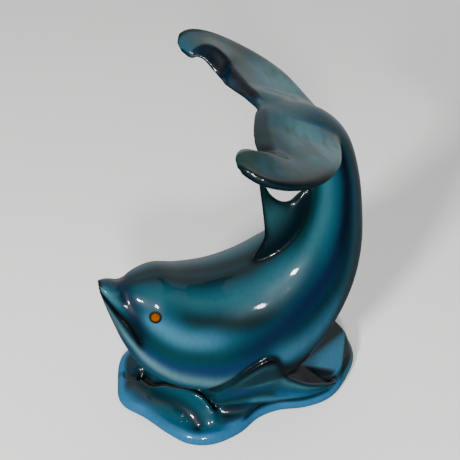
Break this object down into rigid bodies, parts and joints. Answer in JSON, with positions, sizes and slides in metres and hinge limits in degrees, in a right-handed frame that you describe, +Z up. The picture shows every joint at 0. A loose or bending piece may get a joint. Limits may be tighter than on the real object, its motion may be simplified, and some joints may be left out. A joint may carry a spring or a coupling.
{
  "type": "wooden dolphin carving",
  "caption": "Carved and lacquered wooden dolphin ornament, arched over a low wave base with its tail curled above its back, standing on its flat underside.",
  "frame": {"origin": "on the flat underside of the wave, in the dolphin's plane of symmetry, below its middle", "axes": "+Z up, -X towards the nose, -Y to the dolphin's left"},
  "size_m": [0.1757, 0.1354, 0.2563],
  "materials": {
    "lacquered_wood": "glossy clear lacquer over airbrushed teal and blue",
    "eye": "glossy orange"
  },
  "bodies": {
    "root": {"carving": "lacquered_wood", "eye_left": "eye", "eye_right": "eye"}
  },
  "joints": []
}
